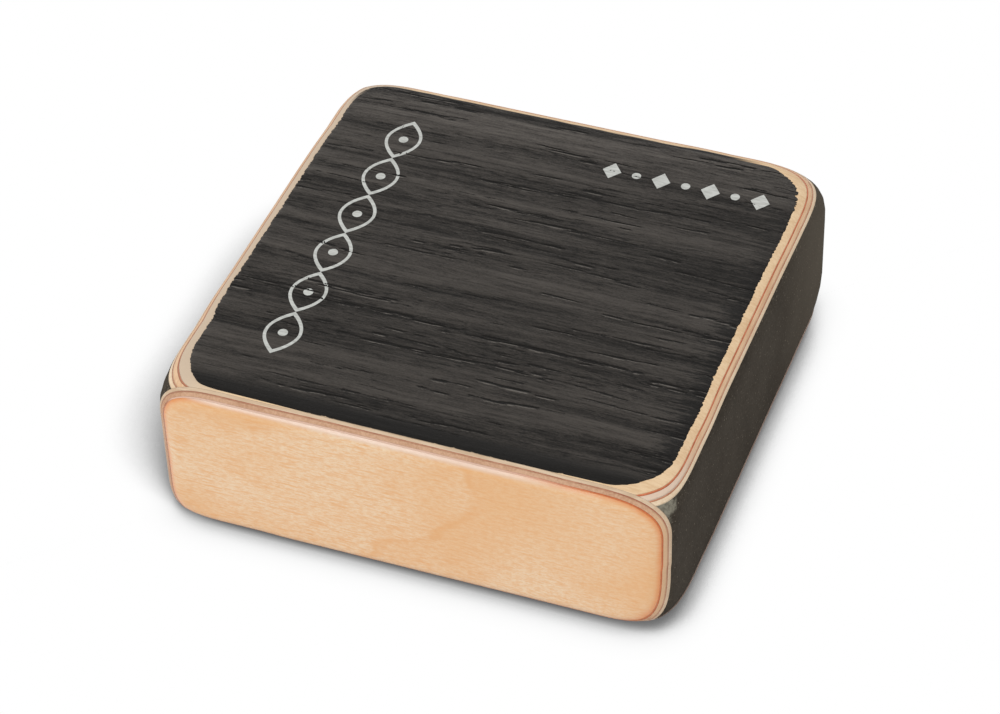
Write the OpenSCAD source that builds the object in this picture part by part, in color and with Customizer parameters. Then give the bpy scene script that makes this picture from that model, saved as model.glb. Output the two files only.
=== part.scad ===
// Square hand shaker: a dark frame closed by laminated panels, with loose steel shot in five long channels.
// Millimetres. Origin at the middle of the underside, +Z up, the pale front panel faces -Y.

/* [Body] */
// Overall width, left side to right side
body_w = 100; // [84:1:140]
// Overall depth, front panel to back wall
body_d = 101.5; // [84:0.5:140]
// Overall height, underside to top
body_h = 33.5; // [26:0.5:60]

/* [Rounded edges] */
// Round-over of the top edges along the left and right sides
top_side_r = 4.6; // [2:0.1:6]
// Round-over of the top edge along the front
top_front_r = 3.6; // [2:0.1:6]
// Round-over of the top edge along the back
top_back_r = 7.4; // [4:0.1:9]
// Round-over of all the edges of the underside
base_r = 3.5; // [2:0.1:6]
// Round-over of the two upright edges at the front
front_upright_r = 4.3; // [2:0.1:6]
// Round-over of the two upright edges at the back
back_upright_r = 6.4; // [4:0.1:8]
// Radius of the ball that the two upper front corners are sanded to
front_corner_r = 16.8; // [14:0.2:20]
// Radius of the ball that the two lower front corners are sanded to
base_corner_r = 15; // [13:0.2:18]
// Radius of the ball that the four back corners are sanded to
back_corner_r = 21.8; // [19:0.2:25]

/* [Top and bottom panels] */
// Thickness of the black veneer
veneer_t = 0.25; // [0.2:0.05:0.8]
// Thickness of each ply under the veneer
panel_ply_t = 0.62; // [0.5:0.02:1.5]

/* [Front panel] */
// Thickness of the front panel's face ply
front_face_ply_t = 0.8; // [0.5:0.01:1.5]
// Thickness of each ply behind the face ply
front_ply_t = 0.605; // [0.5:0.005:1.5]

/* [Glue films] */
// Thickness of the film that bonds two plies
film_t = 0.18; // [0.05:0.01:0.3]

/* [Frame] */
// Thickness of the left and right walls
side_wall_t = 6; // [4:0.5:10]
// Thickness of the back wall
back_wall_t = 6; // [4:0.5:10]
// How far the back wall is let into each side wall
rebate_depth = 3; // [1:0.5:3.5]
// Thickness of a divider
divider_t = 2.5; // [1.5:0.1:4]
// How deep a divider's end sits in the back wall
groove_depth = 2; // [1:0.5:3.5]
// Clearance on each side of a divider in its groove
groove_clearance = 0.1; // [0.05:0.05:0.3]

/* [Shot] */
// Diameter of a steel ball
shot_d = 4; // [2.5:0.1:4.5]
// Gap between balls at rest
shot_gap = 0.25; // [0.15:0.05:0.5]
// Gap that is kept to the walls at the ends of a stroke
shot_clearance = 0.3; // [0.2:0.05:0.5]
// Length of the charge that runs along a channel
charge_len = 30; // [16:1:40]

/* [Hidden] */
$fn = 64;
// Room by which cutting shapes reach past the body
reach = 5;
// Channels side by side, with a divider between each two
channels = 5;
dividers = channels - 1;

// Heights and depths of the layers, measured in from the outer face
panel_t = veneer_t + 3 * panel_ply_t + 2 * film_t;
front_t = front_face_ply_t + 2 * front_ply_t + 2 * film_t;
front_y = -body_d / 2;
core_y = front_y + front_t;
back_y = body_d / 2;
core_d = back_y - core_y;
floor_z = panel_t;
ceiling_z = body_h - panel_t;
chamber_h = ceiling_z - floor_z;

// Where the ball of each sanded corner has its centre, in from the three faces
front_corner_inset = front_corner_r * [0.702, 0.667, 0.833];
base_corner_inset = base_corner_r * [0.76, 0.76, 0.76];
back_corner_inset = back_corner_r * [0.735, 0.735, 0.735];

// Channels
chamber_w = body_w - 2 * side_wall_t;
chamber_back_y = back_y - back_wall_t;
channel_w = (chamber_w - dividers * divider_t) / channels;
channel_pitch = channel_w + divider_t;

// Shot: as many balls abreast as a channel takes with room to move
shot_pitch = shot_d + shot_gap;
shot_play = 2;
shot_across = max(1, floor((channel_w - shot_play + shot_gap) / shot_pitch));
shot_rows = max(2, floor((charge_len + shot_gap) / shot_pitch));
// Height of one layer over the next, each ball in the hollow of four below
layer_rise = shot_pitch / sqrt(2);
shot_z = floor_z + shot_clearance + shot_d / 2;
tail_y = chamber_back_y - shot_clearance - shot_d / 2;
// The charge rests half way between the front panel and the tail
charge_y = (core_y + tail_y - shot_d / 2) / 2;

black_stain = "#35312e";
birch = "#e0bd92";
resin = "#b06a42";
dyed_board = "#453f38";
steel = "#9a9da0";

// Middle of a channel or of a divider, counted from the left
function channel_x(i) = -chamber_w / 2 + channel_w / 2 + (i - 1) * channel_pitch;
function divider_x(i) = channel_x(i) + channel_pitch / 2;

// Rectangle from a low corner to a high one, with a radius for each corner, from the low left one round
module rounded_rect(low, high, r) {
    difference() {
        translate(low) square(high - low);
        rounding(low.x, low.y, 1, 1, r[0]);
        rounding(high.x, low.y, -1, 1, r[1]);
        rounding(high.x, high.y, -1, -1, r[2]);
        rounding(low.x, high.y, 1, -1, r[3]);
    }
}

// What a round-over takes off one corner of an outline
module rounding(x, y, in_x, in_y, r) {
    difference() {
        translate([x + in_x * (r - reach) / 2, y + in_y * (r - reach) / 2]) square(r + reach, center = true);
        translate([x + in_x * r, y + in_y * r]) circle(r);
    }
}

// The outside of the whole body, with its edges rounded and its corners sanded
module body_form() {
    difference() {
        intersection() {
            rotate([90, 0, 0])
                linear_extrude(body_d, center = true)
                    rounded_rect([-body_w / 2, 0], [body_w / 2, body_h], [base_r, base_r, top_side_r, top_side_r]);
            rotate([90, 0, 90])
                linear_extrude(body_w, center = true)
                    rounded_rect([front_y, 0], [back_y, body_h], [base_r, base_r, top_back_r, top_front_r]);
            linear_extrude(body_h)
                rounded_rect([-body_w / 2, front_y], [body_w / 2, back_y],
                    [front_upright_r, front_upright_r, back_upright_r, back_upright_r]);
        }
        for (x = [-1, 1]) {
            translate([x * body_w / 2, front_y, body_h])
                corner_sanding([x, -1, 1], front_corner_r, front_corner_inset);
            translate([x * body_w / 2, front_y, 0])
                corner_sanding([x, -1, -1], base_corner_r, base_corner_inset);
            for (z = [-1, 1])
                translate([x * body_w / 2, back_y, body_h / 2 + z * body_h / 2])
                    corner_sanding([x, 1, z], back_corner_r, back_corner_inset);
        }
    }
}

// What sanding takes off one corner: the space outside a large ball. Out is the way out of the body there.
module corner_sanding(out, r, inset) {
    difference() {
        translate([for (k = [0 : 2]) out[k] * (reach - inset[k]) / 2])
            cube([for (k = [0 : 2]) inset[k] + reach], center = true);
        translate([for (k = [0 : 2]) -out[k] * inset[k]]) sphere(r, $fn = 96);
    }
}

// A layer of the top panel, between two depths below the top face
module top_layer(from, to) {
    intersection() {
        body_form();
        translate([-body_w / 2 - reach, core_y, body_h - to]) cube([body_w + 2 * reach, core_d + reach, to - from]);
    }
}

// A layer of the bottom panel, between two depths above the underside
module bottom_layer(from, to) {
    intersection() {
        body_form();
        translate([-body_w / 2 - reach, core_y, from]) cube([body_w + 2 * reach, core_d + reach, to - from]);
    }
}

// A layer of the front panel, between two depths behind the front face
module front_layer(from, to) {
    intersection() {
        body_form();
        translate([-body_w / 2 - reach, front_y + from, -reach])
            cube([body_w + 2 * reach, to - from, body_h + 2 * reach]);
    }
}

// Depths at which the layers of a panel begin: face ply, film, core ply, film, inner ply, and the inside
function layer_depths(skin, face, ply) = [
    skin,
    skin + face,
    skin + face + film_t,
    skin + face + ply + film_t,
    skin + face + ply + 2 * film_t,
    skin + face + 2 * ply + 2 * film_t
];
panel_depths = layer_depths(veneer_t, panel_ply_t, panel_ply_t);
front_depths = layer_depths(0, front_face_ply_t, front_ply_t);

module top_veneer() { color(black_stain) top_layer(0, panel_depths[0]); }
module top_face_ply() { color(birch) top_layer(panel_depths[0], panel_depths[1]); }
module top_outer_glue_film() { color(resin) top_layer(panel_depths[1], panel_depths[2]); }
module top_core_ply() { color(birch) top_layer(panel_depths[2], panel_depths[3]); }
module top_inner_glue_film() { color(resin) top_layer(panel_depths[3], panel_depths[4]); }
module top_inner_ply() { color(birch) top_layer(panel_depths[4], panel_depths[5]); }

module bottom_veneer() { color(black_stain) bottom_layer(0, panel_depths[0]); }
module bottom_face_ply() { color(birch) bottom_layer(panel_depths[0], panel_depths[1]); }
module bottom_outer_glue_film() { color(resin) bottom_layer(panel_depths[1], panel_depths[2]); }
module bottom_core_ply() { color(birch) bottom_layer(panel_depths[2], panel_depths[3]); }
module bottom_inner_glue_film() { color(resin) bottom_layer(panel_depths[3], panel_depths[4]); }
module bottom_inner_ply() { color(birch) bottom_layer(panel_depths[4], panel_depths[5]); }

module front_face_ply() { color(birch) front_layer(front_depths[0], front_depths[1]); }
module front_outer_glue_film() { color(resin) front_layer(front_depths[1], front_depths[2]); }
module front_core_ply() { color(birch) front_layer(front_depths[2], front_depths[3]); }
module front_inner_glue_film() { color(resin) front_layer(front_depths[3], front_depths[4]); }
module front_inner_ply() { color(birch) front_layer(front_depths[4], front_depths[5]); }

// A side wall runs from the front panel to the back, rebated at its back end for the back wall
module side_wall(side) {
    intersection() {
        body_form();
        difference() {
            translate([side * (body_w - side_wall_t + reach) / 2, (core_y + back_y + reach) / 2, body_h / 2])
                cube([side_wall_t + reach, core_d + reach, chamber_h], center = true);
            translate([side * (chamber_w / 2 - reach / 2 + rebate_depth / 2),
                chamber_back_y + (back_wall_t + 2 * reach) / 2, body_h / 2])
                cube([rebate_depth + reach, back_wall_t + 2 * reach, body_h], center = true);
        }
    }
}

module left_wall() { color(dyed_board) side_wall(-1); }
module right_wall() { color(dyed_board) side_wall(1); }

// The back wall sits in both rebates and is grooved for the dividers
module back_wall() {
    color(dyed_board)
        intersection() {
            body_form();
            difference() {
                translate([0, (chamber_back_y + back_y + reach) / 2, body_h / 2])
                    cube([chamber_w + 2 * rebate_depth, back_wall_t + reach, chamber_h], center = true);
                for (i = [1 : dividers])
                    translate([divider_x(i), chamber_back_y + (groove_depth - reach) / 2, body_h / 2])
                        cube([divider_t + 2 * groove_clearance, groove_depth + reach, body_h], center = true);
            }
        }
}

// A divider stands between the panels, from the front panel into its groove in the back wall
module divider(i) {
    color(dyed_board)
        translate([divider_x(i) - divider_t / 2, core_y, floor_z])
            cube([divider_t, chamber_back_y + groove_depth - core_y, chamber_h]);
}

// A row of balls abreast in a channel
module shot_row(count) {
    for (k = [0 : count - 1])
        translate([(k - (count - 1) / 2) * shot_pitch, 0, 0]) sphere(d = shot_d);
}

// The last row, which lies at the back end of its channel
module shot_tail(i) {
    color(steel) translate([channel_x(i), tail_y, shot_z]) shot_row(shot_across);
}

// The charge that runs along its channel: a layer on the floor and one in its hollows
module shot_charge(i) {
    color(steel)
        translate([channel_x(i), charge_y, shot_z]) {
            for (row = [0 : shot_rows - 1])
                translate([0, (row - (shot_rows - 1) / 2) * shot_pitch, 0]) shot_row(shot_across);
            if (shot_across > 1)
                for (row = [0 : shot_rows - 2])
                    translate([0, (row - (shot_rows - 2) / 2) * shot_pitch, layer_rise]) shot_row(shot_across - 1);
        }
}

top_veneer();
top_face_ply();
top_outer_glue_film();
top_core_ply();
top_inner_glue_film();
top_inner_ply();
bottom_veneer();
bottom_face_ply();
bottom_outer_glue_film();
bottom_core_ply();
bottom_inner_glue_film();
bottom_inner_ply();
front_face_ply();
front_outer_glue_film();
front_core_ply();
front_inner_glue_film();
front_inner_ply();
left_wall();
right_wall();
back_wall();
for (i = [1 : dividers]) divider(i);
for (i = [1 : channels]) shot_tail(i);
for (i = [1 : channels]) shot_charge(i);
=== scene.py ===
import math

import bpy
import numpy as np
from mathutils import Matrix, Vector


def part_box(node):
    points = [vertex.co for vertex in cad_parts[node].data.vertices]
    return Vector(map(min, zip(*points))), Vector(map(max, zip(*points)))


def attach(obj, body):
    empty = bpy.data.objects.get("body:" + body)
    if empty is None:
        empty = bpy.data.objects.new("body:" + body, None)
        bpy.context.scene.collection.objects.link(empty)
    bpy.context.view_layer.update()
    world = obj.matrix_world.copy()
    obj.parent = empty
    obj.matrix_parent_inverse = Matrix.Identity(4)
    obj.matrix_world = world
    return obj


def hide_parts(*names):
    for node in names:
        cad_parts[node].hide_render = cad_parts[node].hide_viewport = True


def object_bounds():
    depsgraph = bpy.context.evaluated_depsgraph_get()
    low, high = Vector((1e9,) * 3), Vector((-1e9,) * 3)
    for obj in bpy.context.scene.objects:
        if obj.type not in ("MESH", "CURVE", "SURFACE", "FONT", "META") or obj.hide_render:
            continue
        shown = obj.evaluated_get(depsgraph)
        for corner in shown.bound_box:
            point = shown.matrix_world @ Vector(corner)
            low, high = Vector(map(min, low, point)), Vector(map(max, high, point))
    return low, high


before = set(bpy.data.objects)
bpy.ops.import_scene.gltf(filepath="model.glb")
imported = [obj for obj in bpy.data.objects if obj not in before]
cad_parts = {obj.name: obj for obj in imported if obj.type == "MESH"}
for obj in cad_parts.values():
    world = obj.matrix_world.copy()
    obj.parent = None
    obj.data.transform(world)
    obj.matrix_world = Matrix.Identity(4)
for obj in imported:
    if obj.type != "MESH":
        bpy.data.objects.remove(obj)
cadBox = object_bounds()
mm = 0.001
print("frame loaded:", len(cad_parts), "nodes")


# camera at the photograph's viewing angle
cameraLook = {
    "place": (172.75 * mm, -433.32 * mm, 434.64 * mm),
    "right": (0.9363, 0.35023, -0.02607),
    "down": (0.21756, -0.63671, -0.73978),
    "focalPixels": 3275.1,
    "imageWidth": 1000,
    "sensor": 36.0,
    "clip": (0.05, 20),
}


def makeCamera(look):
    data = bpy.data.cameras.new("camera")
    data.sensor_width = look["sensor"]
    data.lens = look["focalPixels"] * look["sensor"] / look["imageWidth"]
    data.clip_start, data.clip_end = look["clip"]
    right = np.array(look["right"]) / np.linalg.norm(look["right"])
    forward = np.cross(right, look["down"])
    forward /= np.linalg.norm(forward)
    turn = Matrix(np.column_stack([right, np.cross(right, forward), -forward]).tolist()).to_4x4()
    camera = bpy.data.objects.new("camera", data)
    camera.matrix_world = Matrix.Translation(look["place"]) @ turn
    bpy.context.scene.collection.objects.link(camera)
    bpy.context.scene.camera = camera


makeCamera(cameraLook)
print("camera made")


# the rounded outside of the box, as a gap that is below zero inside it
edgeLook = {
    "side": 4.6 * mm,
    "front": 3.6 * mm,
    "back": 7.4 * mm,
    "baseEnd": 3.35 * mm,
    "baseLean": 0.012,  # the lower front edge is rounded a little more towards the right
    "baseSide": 3.75 * mm,
    "fade": (16 * mm, 36 * mm),  # from a corner's own radii to the edge's
    "hold": 20 * mm,  # how far from its corner a ball counts in full
    "release": 0.12,  # and how fast it lets go beyond that
}
cornerLook = {  # sanded by hand: each upper corner has its own radii, ball and softness, in millimetres
    "frontLeft": {"side": 3.7, "end": 4.0, "upright": 4.9, "ball": 23.6, "soft": 2.1,
                  "inset": (16.5, 13.15, 19.0)},
    "frontRight": {"side": 3.7, "end": 3.0, "upright": 4.3, "ball": 22.6, "soft": 2.1,
                   "inset": (14.25, 13.9, 18.6)},
    "backLeft": {"side": 4.3, "end": 7.3, "upright": 6.4, "ball": 18.3, "soft": 3.0,
                 "inset": (14.65, 14.95, 12.3)},
    "backRight": {"side": 4.3, "end": 6.6, "upright": 6.1, "ball": 25.1, "soft": 2.5,
                  "inset": (15.5, 18.3, 19.8)},
}
footLook = {  # the lower corners, in the same order and also in millimetres
    "ball": (18.81, 25.61, 21.8, 21.8),
    "inset": ((11.79, 14.04, 12.83), (19.28, 16.66, 16.5), (16, 16, 16), (16, 16, 16)),
    "soft": (1.92, 3.0, 1.0, 1.0),
}
halfWidth = (cadBox[1].x - cadBox[0].x) / 2
halfDepth = (cadBox[1].y - cadBox[0].y) / 2
height = cadBox[1].z
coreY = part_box("top_core_ply")[0].y  # where the front panel is glued on
cornerValues = {k: np.array([c[k] for c in cornerLook.values()]) * mm for k in cornerLook["frontLeft"]}
footBall, footInset, footSoft = (np.array(footLook[k]) * mm for k in ("ball", "inset", "soft"))


def ease(t):
    t = np.clip(t, 0, 1)
    return t * t * (3 - 2 * t)


def rectGap(u, v, reachU, reachV, radius):
    overU = np.abs(u) - (reachU - radius)
    overV = np.abs(v) - (reachV - radius)
    outside = np.hypot(np.maximum(overU, 0), np.maximum(overV, 0))
    return outside + np.minimum(np.maximum(overU, overV), 0) - radius


def formGap(x, y, z):
    lift = z - height / 2
    upper = lift > 0
    which = (x > 0).astype(int) + 2 * (y > 0).astype(int)
    near, far = edgeLook["fade"]
    towardsEnd = ease((far - (halfDepth - np.abs(y))) / (far - near))
    towardsSide = ease((far - (halfWidth - np.abs(x))) / (far - near))
    side = edgeLook["side"] + (cornerValues["side"][which] - edgeLook["side"]) * towardsEnd
    end = np.where(y > 0, edgeLook["back"], edgeLook["front"])
    end = end + (cornerValues["end"][which] - end) * towardsSide
    sides = rectGap(x, lift, halfWidth, height / 2, np.where(upper, side, edgeLook["baseSide"]))
    baseEnd = edgeLook["baseEnd"] + edgeLook["baseLean"] * x
    ends = rectGap(y, lift, halfDepth, height / 2, np.where(upper, end, baseEnd))
    plan = rectGap(x, y, halfWidth, halfDepth, cornerValues["upright"][which])
    edges = np.maximum(np.maximum(sides, ends), plan)
    radius = np.where(upper, cornerValues["ball"][which], footBall[which])
    inset = np.where(upper[..., None], cornerValues["inset"][which], footInset[which])
    soft = np.where(upper, cornerValues["soft"][which], footSoft[which])
    past = [np.maximum(np.abs(a) - (half - inset[..., k]), 0)
            for k, (a, half) in enumerate(((x, halfWidth), (y, halfDepth), (lift, height / 2)))]
    away = np.maximum(halfWidth - np.abs(x) - edgeLook["hold"], 0)
    away = away + np.maximum(halfDepth - np.abs(y) - edgeLook["hold"], 0)
    ball = np.sqrt(past[0] ** 2 + past[1] ** 2 + past[2] ** 2) - radius - edgeLook["release"] * away
    blend = np.maximum(soft - np.abs(edges - ball), 0)
    return np.maximum(edges, ball) + blend ** 2 / (4 * soft)


rayLook = {
    "far": 150 * mm,  # longer than any way out of the form
    "halvings": 40,
}


def reachForm(start, direction):  # halving finds where rays from inside leave the form
    start, direction = np.broadcast_arrays(np.asarray(start, float), np.asarray(direction, float))
    near = np.zeros(start.shape[:-1])
    out = np.full(start.shape[:-1], rayLook["far"])
    for _ in range(rayLook["halvings"]):
        middle = (near + out) / 2
        p = start + direction * middle[..., None]
        inside = formGap(p[..., 0], p[..., 1], p[..., 2]) <= 0
        near = np.where(inside, middle, near)
        out = np.where(inside, out, middle)
    return start + direction * near[..., None]


# meshes from stacked outlines
def addMesh(name, points, faces, flat=()):
    mesh = bpy.data.meshes.new(name)
    mesh.from_pydata(np.asarray(points).tolist(), [], faces)
    smooth = np.ones(len(mesh.polygons), bool)
    smooth[list(flat)] = False
    mesh.polygons.foreach_set("use_smooth", smooth)
    mesh.update()
    piece = bpy.data.objects.new(name, mesh)
    bpy.context.scene.collection.objects.link(piece)
    return piece


def loftPiece(name, loops, flatColumns=(), rings=()):
    count = len(loops[0])
    loops = list(loops)
    last = loops[-1]
    for share in rings:  # rings inside the last face keep its shading flat
        loops.append(last.mean(axis=0) + (last - last.mean(axis=0)) * share)
    points = np.concatenate(loops)
    faces, flat = [], []
    for level in range(len(loops) - 1):
        for k in range(count):
            a, b = level * count + k, level * count + (k + 1) % count
            if k in flatColumns or level >= len(loops) - 1 - len(rings):
                flat.append(len(faces))
            faces.append((a, b, b + count, a + count))
    flat += [len(faces), len(faces) + 1]
    faces.append(tuple(range(count - 1, -1, -1)))
    faces.append(tuple(range((len(loops) - 1) * count, len(loops) * count)))
    return addMesh(name, points, faces, flat)


outlineLook = {
    "samples": 4001,
    "aroundCase": (0.05, 6),  # how wide a stretch is crowded with points at a turn, and how much
    "aroundFront": (0.02, 9),
}


def crowded(count, spots, width, weight):  # shares from 0 to 1, closer together where the outline turns
    spread = np.linspace(0, 1, outlineLook["samples"])
    density = 1 + sum(weight * np.exp(-((spread - s) / width) ** 2) for s in spots)
    total = np.concatenate([[0], np.cumsum((density[1:] + density[:-1]) / 2)])
    return np.interp(np.linspace(0, 1, count), total / total[-1], spread)


def arcOutline(fromXy, toXy, z, count):  # fans out from the glue face, so levels share directions
    first = math.atan2(fromXy[1] - coreY, fromXy[0])
    last = math.atan2(toXy[1] - coreY, toXy[0])
    corner = math.atan2(halfDepth - coreY, halfWidth)
    spots = [(c - first) / (last - first) for c in (0, corner, math.pi - corner, math.pi)]
    turn = first + (last - first) * crowded(count, spots, *outlineLook["aroundCase"])
    way = np.stack([np.cos(turn), np.sin(turn), np.zeros(count)], 1)
    return reachForm((0, coreY, z), way)


def backAt(x, z):
    return reachForm((x, 0, z), (0, 1, 0))[1]


def settle(piece, node):
    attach(piece, "case")
    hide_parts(node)
    return piece


# the plies of the top and bottom panels and of the front
plyLook = {
    "outlinePoints": 560,
    "levels": 5,
    "faceLevels": 12,  # the outer ply is cut at a low angle, so it needs more
    "levelPower": 1.7,  # above 1, levels are closer together towards the outside of the panel
    "frontLevels": 5,
    "frontFaceLevels": 16,
    "frontPower": 2,  # the same, towards the flat of the front face
    "frontStart": 1e-4,  # the flat of the front face starts this share of the ply in
    "frontRings": (0.985, 0.9),
    "footProud": 0.22 * mm,  # the bottom panel stands a hair proud of the walls
}


def panelLoop(z, proud):
    loop = arcOutline((halfWidth, coreY), (-halfWidth, coreY), z, plyLook["outlinePoints"])
    loop[:, 0] *= 1 + proud / halfWidth
    loop[:, 1] += (loop[:, 1] - coreY) * proud / halfDepth / 2
    return loop


def makePanelLayer(node):
    low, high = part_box(node)
    if "film" in node:
        count = 2
    else:
        count = plyLook["faceLevels" if "face" in node else "levels"]
    spread = np.linspace(0, 1, count) ** plyLook["levelPower"]
    if node.startswith("top"):
        levels = high.z - (high.z - low.z) * spread[::-1]
        proud = 0
    else:
        levels = low.z + (high.z - low.z) * spread
        proud = plyLook["footProud"]
    loops = [panelLoop(z, proud) for z in levels]
    return settle(loftPiece(node + "_wood", loops, flatColumns={plyLook["outlinePoints"] - 1}), node)


def frontLoop(y):
    corner = math.atan2(height / 2, halfWidth) / (2 * math.pi)
    spots = (corner, 0.5 - corner, 0.5 + corner, 1 - corner)
    turn = 2 * math.pi * crowded(plyLook["outlinePoints"] + 1, spots, *outlineLook["aroundFront"])[:-1]
    way = np.stack([np.cos(turn), np.zeros(len(turn)), -np.sin(turn)], 1)
    return reachForm((0, y, height / 2), way)


def makeFrontLayer(node):
    low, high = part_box(node)
    if node == "front_face_ply":
        steps = np.linspace(1, 0, plyLook["frontFaceLevels"]) ** plyLook["frontPower"]
        steps[-1] = plyLook["frontStart"]
        rings = plyLook["frontRings"]
    else:
        steps = np.linspace(1, 0, 2 if "film" in node else plyLook["frontLevels"])
        rings = ()
    loops = [frontLoop(low.y + (high.y - low.y) * s) for s in steps]
    return settle(loftPiece(node + "_wood", loops, rings=rings), node)


layerPieces = {}
for panel, makeLayer in (("top_", makePanelLayer), ("bottom_", makePanelLayer), ("front_", makeFrontLayer)):
    for layer in ("face_ply", "core_ply", "inner_ply", "outer_glue_film", "inner_glue_film"):
        layerPieces[panel + layer] = makeLayer(panel + layer)
print("plies and glue films made")


# walls: an outer stretch of the outline, closed by straight inner faces
wallLook = {"levels": 14, "sidePoints": 160, "backPoints": 200, "play": 0.1 * mm}


def wallHeights():
    low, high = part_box("left_wall")
    turn = np.linspace(0, math.pi, wallLook["levels"])
    return low.z + (high.z - low.z) * (1 - np.cos(turn)) / 2  # closer together near the panels


def makeSideWall(node):
    low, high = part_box(node)
    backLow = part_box("back_wall")[0]
    joint = abs(backLow.x)  # the back wall is let in this far out
    inside = min(abs(low.x), abs(high.x))
    count = wallLook["sidePoints"]
    loops = []
    for z in wallHeights():
        if high.x > 0:
            outer = arcOutline((halfWidth, coreY), (joint, backAt(joint, z)), z, count)
            inner = [(joint, backLow.y, z), (inside, backLow.y, z), (inside, coreY, z)]
        else:
            outer = arcOutline((-joint, backAt(-joint, z)), (-halfWidth, coreY), z, count)
            inner = [(-inside, coreY, z), (-inside, backLow.y, z), (-joint, backLow.y, z)]
        loops.append(np.concatenate([outer, inner]))
    return settle(loftPiece(node + "_board", loops, flatColumns=set(range(count - 1, len(loops[0])))), node)


def makeBackWall():
    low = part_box("back_wall")[0]
    joint = abs(low.x)
    grooves = sorted((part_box(n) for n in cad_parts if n.startswith("divider")), key=lambda b: b[0].x)
    loops = []
    for z in wallHeights():
        outer = arcOutline((joint, backAt(joint, z)), (-joint, backAt(-joint, z)), z, wallLook["backPoints"])
        inner = [(-joint, low.y, z)]
        for near, far in grooves:
            left, right = near.x - wallLook["play"], far.x + wallLook["play"]
            inner += [(left, low.y, z), (left, far.y, z), (right, far.y, z), (right, low.y, z)]
        inner.append((joint, low.y, z))
        loops.append(np.concatenate([outer, inner]))
    flat = set(range(wallLook["backPoints"] - 1, len(loops[0])))
    return settle(loftPiece("back_wall_board", loops, flatColumns=flat), "back_wall")


wallPieces = {node: makeSideWall(node) for node in ("left_wall", "right_wall")}
wallPieces["back_wall"] = makeBackWall()
print("walls made")


# black veneer: a sheet in rows along the grain, brushed into ridges, with open pores and torn ends
veneerLook = {
    "rows": {"top_veneer": 900, "bottom_veneer": 180},
    "seed": {"top_veneer": 20, "bottom_veneer": 40},
    "columns": 76,
    "rowCrowd": 0.12,  # above 0, rows are closer together near the front and back ends
    "columnPower": 1.25,  # above 1, columns are closer together near the left and right ends
    "edgeLip": 0.03 * mm,
    "torn": 0.45 * mm,  # how far fibres are lost from the ends
    "fibres": ((0, 0.28 * mm, 2), (4, 0.9 * mm, 3)),  # seed, width and power of fine and coarse fibres
    "fibreShare": 0.55,
    "backCorner": (14 * mm, 4 * mm),  # from the back, where more or less of the ends is lost
    "cornerTorn": {-1: -0.7, 1: 2.2},  # how many times more, at the left and at the right
    "broadRidge": 0.10 * mm,
    "fineRidge": 0.035 * mm,
    "bandReach": 3.4 * mm,  # the strip sanded down behind the front panel
    "bandEdge": 0.5 * mm,
    "bandDrop": 0.10 * mm,
    "bandCalm": 0.8,  # the share of the ridges that is sanded off there
}
grainLook = {  # seed, pitch along the grain and pitch across it
    "wander": (3, 30 * mm, 12 * mm),  # the grain isn't quite straight
    "broad": (5, 45 * mm, 2.3 * mm),
    "fine": (8, 16 * mm, 0.75 * mm),
    "hair": (9, 7 * mm, 0.4 * mm),
    "wanderBy": 1.6 * mm,
    "hairShare": 0.4,
}
poreLook = {
    "seed": 11,
    "chains": 250,
    "most": 8,  # pores in a chain
    "length": (1.4 * mm, 6.5 * mm),
    "width": (0.1 * mm, 0.24 * mm),
    "overlap": (0.3, 1.25),  # how far the next pore starts, in lengths
    "drift": 0.15 * mm,
    "depth": 0.14 * mm,
    "strength": (0.35, 1),  # of a chain
    "share": (0.5, 1),  # of its strength, for each pore in it
    "tilt": 0.02,
    "from": (-halfWidth, coreY + 2 * mm),
    "to": (0.9 * halfWidth, halfDepth),
    "hit": 4,  # how far out a pore is looked for, in its widths
    "poreHighlightAt": 2.1,  # how far in front of a pore its painted highlight stands, in its widths
}


def rowNoise(y, seed, pitch):
    table = np.random.default_rng(seed).random(4096)
    count = len(table)
    spot = (y + halfDepth) / pitch
    step = np.floor(spot).astype(int)
    t = ease(spot - step)
    return table[step % count] * (1 - t) + table[(step + 1) % count] * t


def grainNoise(x, y, kind):
    seed, pitchX, pitchY = grainLook[kind]
    table = np.random.default_rng(seed).random((256, 1024))
    wide, deep = table.shape
    u, v = (x + halfWidth) / pitchX, (y + halfDepth) / pitchY
    i, j = np.floor(u).astype(int), np.floor(v).astype(int)
    s, t = ease(u - i), ease(v - j)
    low = table[i % wide, j % deep] * (1 - s) + table[(i + 1) % wide, j % deep] * s
    high = table[i % wide, (j + 1) % deep] * (1 - s) + table[(i + 1) % wide, (j + 1) % deep] * s
    return low * (1 - t) + high * t


def grainWander(x, y):
    return grainLook["wanderBy"] * (grainNoise(x, y, "wander") - 0.5)


def inBand(y):
    return ease((coreY + veneerLook["bandReach"] - y) / veneerLook["bandEdge"])


def broadGrain(x, y):
    return grainNoise(x, y + grainWander(x, y), "broad")


def veneerRelief(x, y):
    along = y + grainWander(x, y)
    share = grainLook["hairShare"]
    fine = (1 - share) * grainNoise(x, along, "fine") + share * grainNoise(x, along, "hair")
    calm = 1 - veneerLook["bandCalm"] * inBand(y)
    return calm * (veneerLook["broadRidge"] * broadGrain(x, y) + veneerLook["fineRidge"] * fine)


def bandDrop(y):
    t = np.clip((coreY + veneerLook["bandReach"] - y) / veneerLook["bandReach"], 0, 1)
    return veneerLook["bandDrop"] * t


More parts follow.
